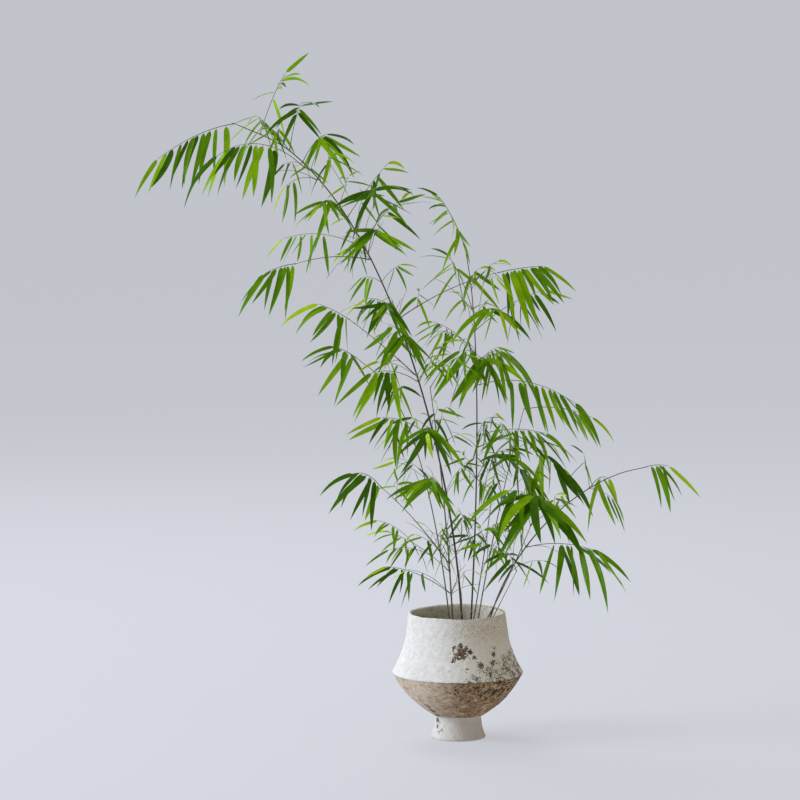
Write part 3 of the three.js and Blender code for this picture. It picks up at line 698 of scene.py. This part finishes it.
# A cane has a node wherever a bough or spray comes out, and others between them, closer towards the tip.
node_spacing, first_node, least_apart, closing, highest_node = 105, 0.35, 0.35, 0.35, 0.93
node_shares = {}
for name, limb in limbs.items():
    sprays_here = {spray[0] for spray in sprays.get(name, {}).values()}
    boughs_here = {at for carrier, at, *_ in boughs.values() if carrier == name}
    taken = sorted(share for share in sprays_here | boughs_here if share < 1)
    spacing = node_spacing / length_of(limb["path"])
    share = spacing * first_node
    while share < highest_node:
        if all(abs(share - other) > spacing * least_apart for other in taken):
            taken.append(share)
        share += spacing * (1 - closing * share)
    node_shares[name] = sorted(taken)
foot_depth, black_canes = 5, ("tall", "middle", "right")
for name in culms:
    skin = cane_materials["black_cane" if name in black_canes else "green_cane"]
    cane = grow_cane(f"cane_{name}", limbs[name], node_shares[name], foot_depth, skin)
    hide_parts(f"culm_{name}")
for name in boughs:
    cane = grow_cane(f"branch_{name}", limbs[name], node_shares[name], 0, cane_materials["green_cane"])
    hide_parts(f"bough_{name}")

# The foliage: each spray has a wiry stem, side twigs and leaves in two rows. They grow by a seeded rule, one
# spray after another, and a leaf that would touch what is there already is tried again and then left out.
twig_girth, stem_steps, twig_points = 2.2, 4, 5
leaf_half_width, leaf_broadest = 0.062, 0.36
leaf_room, lap_room, lowest_leaf, most_lines = 0.85, 0.4, 212, 9000
first_seed, seed_step, tries = 1009, 211, 4


class Dice:
    """A seeded row of numbers between two bounds."""

    def __init__(self, seed):
        self.state = seed

    def between(self, low, high):
        """The next number."""
        self.state = self.state * 16807 % 2147483647
        share = self.state / 2147483647
        return (1 - share) * low + share * high


class Grown:
    """What has grown so far, as lines with their room, and how low anything new may reach."""

    def __init__(self, lowest):
        self.start, self.span = np.zeros((most_lines, 3)), np.zeros((most_lines, 3))
        self.room, self.owner = np.zeros(most_lines), np.zeros(most_lines, int)
        self.free = np.zeros(most_lines, bool)
        self.count = 0
        self.owners = {}
        self.lowest = lowest

    def add(self, lines):
        """Puts some lines with the others."""
        for start, span, owner, room, free in lines:
            row = self.count
            self.start[row], self.span[row], self.room[row], self.free[row] = start, span, room, free
            self.owner[row] = self.owners.setdefault(owner, len(self.owners))
            self.count += 1

    def is_clear(self, lines):
        """Whether some new lines stay high enough and touch nothing."""
        if any(start[2] + span[2] < self.lowest for start, span, *_ in lines):
            return False
        return not any(self.touches(line) for line in lines)

    def touches(self, line):
        """Whether a line comes too close to another. Within one owner, only free lines keep apart."""
        start, u, owner, room, free = line
        rows = slice(0, self.count)
        v, rooms = self.span[rows], room + self.room[rows]
        same = self.owner[rows] == self.owners.setdefault(owner, len(self.owners))
        room = np.where(same, np.where(self.free[rows] & free, lap_room * rooms, 0), rooms + gap)
        reach = np.linalg.norm(start + u / 2 - self.start[rows] - v / 2, axis=1)
        near = (room > 0) & (reach <= (np.linalg.norm(u) + np.linalg.norm(v, axis=1)) / 2 + room)
        if not near.any():
            return False
        v, room = v[near], room[near]
        apart = start - self.start[rows][near]
        uu, uv, vv, uw, vw = u @ u, v @ u, (v * v).sum(1), apart @ u, (v * apart).sum(1)
        parallel = uu * vv - uv * uv
        with np.errstate(divide="ignore", invalid="ignore"):
            begin = np.where(parallel > 1e-9, np.clip((uv * vw - vv * uw) / parallel, 0, 1), 0)
        on_other = np.clip((uv * begin + vw) / vv, 0, 1)
        on_line = np.clip((uv * on_other - uw) / uu, 0, 1)
        away = np.linalg.norm(apart + u * on_line[:, None] - v * on_other[:, None], axis=1)
        return bool((away < room).any())


def lines_of(path, owner, room):
    """The steps of a path, each as a line with its start, span, owner and room. None of them is free."""
    return [(a, b - a, owner, room, False) for a, b in zip(path[:-1], path[1:])]


def lines_of_leaf(leaf, owner):
    """A leaf's inner and outer line. The outer one is free."""
    room = leaf_room * leaf_half_width * leaf["length"]
    inner, outer = lines_of([leaf["root"], leaf["waist"], leaf["tip"]], owner, room)
    return [inner, (*outer[:4], True)]


def turned_towards(start, side, angle):
    """A direction turned by an angle towards another one that is square to it."""
    return start * math.cos(angle) + side * math.sin(angle)


def leaf_at(station, side, along, spray, dice):
    """One leaf: it leaves its twig to one side, less so towards the twig's end, and hangs and sags."""
    point, ahead, across = station
    angle = math.radians(12 if along == 1 else dice.between(75, 90) - 55 * along)
    around = math.radians(dice.between(-40, 40))
    hang = spray["hang"] * dice.between(0.75, 1.25) * (1.3 - 0.8 * along)
    length = spray["length"] * dice.between(0.72, 1.1) * (1.06 - 0.16 * along)
    sag = dice.between(0.02, 0.2)
    roll = math.radians(90 * spray["fan"] + dice.between(-35, 35))
    sideways = turned_towards(across, np.cross(ahead, across), around)
    way = ahead * math.cos(angle) + sideways * side * math.sin(angle) * (0.55 + 0.75 * spray["fan"])
    way = unit(way - up * hang)
    broad = ahead - way * (ahead @ way)
    if np.linalg.norm(broad) < 0.15:
        broad = across - way * (across @ way)
    broad = unit(broad)
    broad = turned_towards(broad, np.cross(way, broad), roll)
    leaf = {"root": point, "way": way, "broad": broad, "length": length, "sag": sag, "along": along}
    for name, share in (("waist", leaf_broadest), ("tip", 1)):
        leaf[name] = point + way * length * share - up * sag * length * share**2
    return leaf


def leaves_on(twig, count, leafy, spray, owner, dice):
    """The leaves of one twig, to one side and the other in turn, with the last one at the twig's tip."""
    leaves = []
    for number in range(count):
        along = number / (count - 1)
        share = leafy + (1 - leafy) * (number + dice.between(0, 0.6)) / count if along < 1 else 1
        for _ in range(tries):
            leaf = leaf_at(station_of(twig["path"], share), 1 if number % 2 else -1, along, spray, dice)
            lines = lines_of_leaf(leaf, owner)
            if grown.is_clear(lines):
                grown.add(lines)
                shift = point_on(twig["line"], share) - leaf["root"]
                leaves.append({**leaf, "shift": shift})
                break
    return leaves


def side_twig_path(stem, share, length, dice):
    """A side twig leaves the stem to one side, a little upwards."""
    point, along, across = station_of(stem, share)
    side = -1 if dice.between(-1, 1) < 0 else 1
    way = along * 0.5 + across * 0.8 * side
    way = unit(way + up * dice.between(-0.2, 0.5))
    return bow_path(point, way * length, 0.1 * length, 3)


grown = Grown(lowest_leaf)
for name, limb in limbs.items():
    grown.add(lines_of(limb["path"], name, limb["girth"] / 2))
crown = []
for limb_name, carried in sprays.items():
    for place_name, (at, reach, crest, count, length, leafy, hang, fan, twigs) in carried.items():
        limb = limbs[limb_name]
        name = f"spray_{limb_name}_{place_name}"
        stem = bow_path(station_of(limb["path"], at)[0], reach, crest, stem_steps)
        seat(stem, limb, at, twig_girth / 2)
        grown.add(lines_of(stem, name, twig_girth / 2))
        line = smoothed(stem, twig_points)
        line[0] = point_on(limb["line"], at)
        crown.append({
            "name": name, "stem": stem, "line": line, "reach": reach, "count": count, "length": length,
            "leafy": leafy, "hang": hang, "fan": fan, "twigs": twigs,
        })
# A side twig is half as long as its stem reaches, and 45 mm at least. Each kind has its radius at the root.
shortest_twig, side_twig_leaves, side_twig_leafy = 45, 5, 0.4
stem_radius, side_twig_radius, shoot_radius = 0.74, 0.5, 0.52
for index, spray in enumerate(crown):
    dice = Dice(first_seed + seed_step * index)
    length = max(0.5 * np.linalg.norm(spray["reach"]), shortest_twig)
    stem = {"path": spray["stem"], "line": spray["line"], "thick": stem_radius}
    twigs = [{**stem, "count": spray["count"], "leafy": spray["leafy"]}]
    for number in range(spray["twigs"]):
        share = 0.25 + 0.5 * (number + dice.between(0.1, 0.9)) / spray["twigs"]
        for _ in range(tries):
            path = side_twig_path(spray["stem"], share, length, dice)
            lines = lines_of(path, spray["name"], twig_girth / 2)
            if grown.is_clear(lines):
                grown.add(lines)
                line = smoothed(path, twig_points)
                line[0] = point_on(spray["line"], share)
                twig = {"path": path, "line": line, "thick": side_twig_radius}
                twigs.append({**twig, "count": side_twig_leaves, "leafy": side_twig_leafy})
                break
    spray["grown_twigs"] = twigs
    spray["leaves"] = [
        leaf for twig in twigs
        for leaf in leaves_on(twig, twig["count"], twig["leafy"], spray, spray["name"], dice)
    ]
print("leaves by the rule", sum(len(spray["leaves"]) for spray in crown))

# Finer shoots come out at the canes' nodes, a few together and each to another side: thin, a little zigzag,
# and with some small leaves or none. By limb and stretch: the lowest and highest share that bears them, how
# many there are at a node, the share of them that is bare, their length, and their leaves' number and length.
shoots = (
    ("tall", 0.02, 0.2, 2, 0.6, 95, 4, 44),
    ("tall", 0.2, 0.42, 2, 0.4, 80, 4, 50),
    ("tall", 0.42, 0.7, 2, 0.2, 64, 4, 46),
    ("tall", 0.7, 0.93, 1, 0.2, 60, 4, 46),
    ("middle", 0.02, 0.2, 3, 0.5, 95, 4, 46),
    ("middle", 0.2, 0.5, 4, 0.25, 84, 5, 46),
    ("middle", 0.5, 0.9, 1, 0.2, 68, 5, 44),
    ("left", 0.05, 0.34, 4, 0.4, 96, 4, 44),
    ("left", 0.34, 0.72, 4, 0.15, 78, 5, 44),
    ("left", 0.72, 0.95, 2, 0.2, 66, 4, 42),
    ("right", 0.1, 0.45, 2, 0.3, 76, 4, 48),
    ("right", 0.45, 0.95, 2, 0, 62, 4, 50),
    ("left_arch", 0.12, 0.4, 3, 0.4, 70, 4, 42),
    ("left_arch", 0.4, 0.95, 2, 0.2, 62, 4, 44),
    ("right_upright", 0.15, 0.95, 3, 0.25, 72, 4, 46),
    ("right_slant", 0.2, 0.95, 3, 0.3, 66, 4, 48),
    ("inner_back", 0.15, 0.95, 4, 0.25, 70, 5, 44),
    ("front_low", 0.3, 0.95, 3, 0.3, 46, 3, 32),
    ("low_left", 0.2, 0.9, 1, 0.2, 46, 4, 44),
    ("far_left", 0.2, 0.9, 1, 0.2, 52, 4, 44),
    ("wing_left", 0.2, 0.9, 1, 0.2, 52, 4, 44),
    ("long_right", 0.1, 0.9, 1, 0.2, 50, 4, 46),
)
golden_turn, shoot_room, zigzag_share, shoot_steps = math.radians(137.5), 0.5, 0.022, 4
grown.lowest = 238
dice = Dice(90210)
fine_shoots = []
for limb_name, lowest, highest, together, bare, length, count, leaf_length in shoots:
    limb = limbs[limb_name]
    turn = dice.between(0, 2 * math.pi)
    for share in node_shares[limb_name]:
        for _ in range(together if lowest <= share < highest else 0):
            turn += golden_turn
            name = f"shoot_{len(fine_shoots)}"
            point, along, across = station_of(limb["path"], share)
            outward = turned_towards(across, np.cross(along, across), turn)
            long = length * dice.between(0.55, 1.3)
            way = unit(outward + along * dice.between(0.3, 1.2)) * long
            path = bow_path(point, way, 0.09 * long, shoot_steps)
            zigzag = np.cross(unit(way), up) * long * zigzag_share
            path[1:4] += [zigzag, -zigzag, zigzag]
            if not grown.is_clear(lines_of(path[1:], name, shoot_room)):
                continue
            line = smoothed(path, shoot_steps)
            line[0] = point_on(limb["line"], share)
            habit = {"hang": dice.between(0.5, 1.5), "fan": dice.between(0.1, 0.8), "length": leaf_length}
            leafless = dice.between(0, 1) < bare
            twig = {"path": path, "line": line, "thick": shoot_radius}
            leaves = [] if leafless else leaves_on(twig, count, dice.between(0.4, 0.7), habit, name, dice)
            grown.add(lines_of(path, name, shoot_room))
            fine_shoots.append({"grown_twigs": [twig], "leaves": leaves})
print("finer shoots", len(fine_shoots), "their leaves", sum(len(shoot["leaves"]) for shoot in fine_shoots))

# The wiry stems and twigs: solid, 1 to 1.5 mm thick near the root, where they swell a little, and half as
# thick at the tip.


def sweep(line, radii, sides=5):
    """The points and faces of a closed round twig along a line, in mm."""
    ways = np.gradient(line, axis=0)
    outward = np.array([1.0, 0.3, 0.1])
    vertices, faces = [], []
    for point, way, radius in zip(line, ways, radii):
        way = unit(way)
        outward = unit(outward - way * (outward @ way))
        sideways = np.cross(way, outward)
        for side in range(sides):
            turn = 2 * math.pi * side / sides
            vertices.append(point + radius * (outward * math.cos(turn) + sideways * math.sin(turn)))
    for step in range(len(line) - 1):
        for side in range(sides):
            here, other = step * sides + side, step * sides + (side + 1) % sides
            faces.append((here, other, other + sides, here + sides))
    last = (len(line) - 1) * sides
    faces.append(tuple(range(sides - 1, -1, -1)))
    faces.append(tuple(range(last, last + sides)))
    return vertices, faces


# Twig bark: thin and smooth, green on the stems that carry the sprays and dry grey-brown on the finer shoots.
for kind, carried, fresh, ripe in (
    ("spray_twigs", crown, "#5d7a2c", "#5a4f33"),
    ("fine_shoot_twigs", fine_shoots, "#59633a", "#483e31"),
):
    twig_parts = []
    for spray in carried:
        for twig in spray["grown_twigs"]:
            radii = twig["thick"] * np.linspace(1, 0.5, len(twig["line"]))
            radii[0] *= 1.5
            twig_parts.append(sweep(twig["line"], radii))
    bark, tree, output = new_material(f"bark_of_{kind}")
    place = add_node(tree, "ShaderNodeTexCoord").outputs["Object"]
    ripened = coat(fresh, ripe, patches(0.4, 0.65, grain(30, 3)))
    wiry = add_node(tree, "ShaderNodeBsdfPrincipled", {"Base Color": ripened, "Roughness": 0.5})
    tree.links.new(wiry.outputs[0], output.inputs[0])
    twigs = mesh_of(kind, twig_parts, bark)
    twigs.data.polygons.foreach_set("use_smooth", [True] * len(twigs.data.polygons))
    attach(twigs, "root")

# Papery sheaths wrap the canes' nodes. They are short and dry, straw and red-brown in patches, widest at the
# node and close to the cane at both ends.
straw, tree, output = new_material("dry_culm_sheath")
place = add_node(tree, "ShaderNodeTexCoord").outputs["Object"]
parched = coat("#8c7b60", "#6b4535", patches(0.38, 0.62, grain(7, 4, 0.7)))
papery = add_node(tree, "ShaderNodeBsdfPrincipled", {"Base Color": parched, "Roughness": 0.75})
tree.links.new(papery.outputs[0], output.inputs[0])
sheath_dice = random.Random(15)
sheath_parts = []
for name, limb in limbs.items():
    for share in node_shares[name]:
        node = point_on(limb["line"], share)
        way = station_of(limb["path"], share)[1]
        radius = radius_at(limb["girth"], limb_taper, share)
        tall = sheath_dice.uniform(2.5, 7)
        rings = [node - way * 1.2, node, node + way * tall * 0.6, node + way * tall]
        radii = [radius + clear for clear in (0.1, 0.5, 0.3, 0.08)]
        sheath_parts.append(sweep(np.array(rings), radii, 8))
sheaths = mesh_of("culm_sheaths", sheath_parts, straw)
sheaths.data.polygons.foreach_set("use_smooth", [True] * len(sheaths.data.polygons))
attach(sheaths, "root")

# The leaves: thin lance-shaped blades on short stalks, folded a little along the midrib, widest in the first
# third and drawn out to a fine point. They hang by their own weight, and each bends and twists its own way.
# The longest ones are also the broadest for their length, and turn their face to the front more often.
blade_shares = np.array([0, 0.035, 0.05, 0.075, 0.13, 0.24, 0.38, 0.52, 0.66, 0.79, 0.9, 0.965, 1.0])
blade_widths = np.array([0.06, 0.06, 0.34, 0.66, 0.9, 1.0, 1.0, 0.95, 0.82, 0.6, 0.33, 0.12, 0.012])
least_half_width, half_thickness = 0.12, 0.16
broad_from, long_from, long_frontal, short_frontal = 74, 76, 0.36, 0.1


def blade_of(leaf, dice):
    """The points and faces of one leaf, in mm: four rows, along both edges, the midrib and its underside."""
    length = leaf["length"]
    frontal_share = long_frontal if length > long_from else short_frontal
    frontal = np.array([1.0, 0.0, 0.0]) - leaf["way"] * leaf["way"][0]
    if dice.random() < frontal_share and np.linalg.norm(frontal) > 0.3:
        towards = unit(frontal) * (1 if frontal @ leaf["broad"] > 0 else -1)
        leaf = {**leaf, "broad": unit(leaf["broad"] + towards * 1.5)}
    bend = dice.uniform(-0.12, 0.12)
    twist = math.radians(dice.uniform(-45, 45))
    fold = dice.uniform(0.1, 0.4)
    droop = dice.uniform(0.0, 0.16)
    half = leaf_half_width * length * dice.uniform(0.75, 1.0) * max(1, length / broad_from)
    vertices, faces = [], []
    for share, wide in zip(blade_shares, blade_widths):
        middle = leaf["root"] + leaf["shift"] + leaf["way"] * length * share
        middle = middle - up * leaf["sag"] * length * share**2 - up * droop * length * share**4
        middle = middle + leaf["broad"] * bend * length * share * (1 - share) * 2
        ahead = unit(leaf["way"] - up * 2 * leaf["sag"] * share)
        broad = unit(leaf["broad"] - ahead * (leaf["broad"] @ ahead))
        broad = turned_towards(broad, np.cross(ahead, broad), twist * share)
        face_up = np.cross(broad, ahead)
        width = max(half * wide, least_half_width)
        lift = fold * width
        vertices += [
            middle + broad * width + face_up * lift,
            middle + face_up * half_thickness,
            middle - broad * width + face_up * lift,
            middle - face_up * half_thickness,
        ]
    for row in range(len(blade_shares) - 1):
        for corner in range(4):
            here, other = row * 4 + corner, row * 4 + (corner + 1) % 4
            faces.append((here, here + 4, other + 4, other))
    faces.append((0, 1, 2, 3))
    last = 4 * (len(blade_shares) - 1)
    faces.append((last + 3, last + 2, last + 1, last))
    return vertices, faces


# Fresh leaf: waxy above, thin enough to glow where light comes through, in four greens by age.
leaf_tints = {
    "deep": ("#406a03", "#4d7c04", "#82ad04"),
    "full": ("#5c8d03", "#6fa105", "#a3c805"),
    "fresh": ("#7dac06", "#93c00a", "#c0df0b"),
    "young": ("#a3c31a", "#b8d522", "#dbea34"),
}
dealt = {tint: [] for tint in leaf_tints}
spray_dice, leaf_dice = random.Random(8991), random.Random(77)
plant_height = 1125
for spray in [*crown, *fine_shoots]:
    # The lower a spray comes out, the older it is, and the darker its leaves are.
    root_height = spray["grown_twigs"][0]["path"][0][2]
    age = 1 - root_height / plant_height
    main = spray_dice.choices(["deep", "full", "fresh"], [1 + 5 * age, 5, 5 - 4 * age])[0]
    for leaf in spray["leaves"]:
        tint = main if leaf_dice.random() < 0.7 else leaf_dice.choice(["deep", "full", "fresh", "fresh"])
        if leaf["along"] == 1 and leaf["length"] < 70 and leaf_dice.random() < 0.5:
            tint = "young"
        dealt[tint].append(blade_of(leaf, leaf_dice))
for tint, (dark, light, glow) in leaf_tints.items():
    material, tree, output = new_material(f"bamboo_leaf_{tint}")
    place = add_node(tree, "ShaderNodeTexCoord").outputs["Object"]
    mottled = coat(dark, light, patches(0.35, 0.65, grain(24, 2)))
    waxy = add_node(
        tree, "ShaderNodeBsdfPrincipled",
        {"Base Color": mottled, "Roughness": 0.22, "Specular IOR Level": 0.12},
    )
    through = add_node(tree, "ShaderNodeBsdfTranslucent", {"Color": glow})
    blade = add_node(tree, "ShaderNodeMixShader", {0: 0.35, 1: waxy.outputs[0], 2: through.outputs[0]})
    tree.links.new(blade.outputs[0], output.inputs[0])
    piece = mesh_of(f"leaves_{tint}", dealt[tint], material)
    bpy.ops.object.select_all(action="DESELECT")
    piece.select_set(True)
    bpy.context.view_layer.objects.active = piece
    bpy.ops.object.shade_smooth_by_angle(angle=math.radians(50))
    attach(piece, "root")
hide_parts(*[spray["name"] for spray in crown])
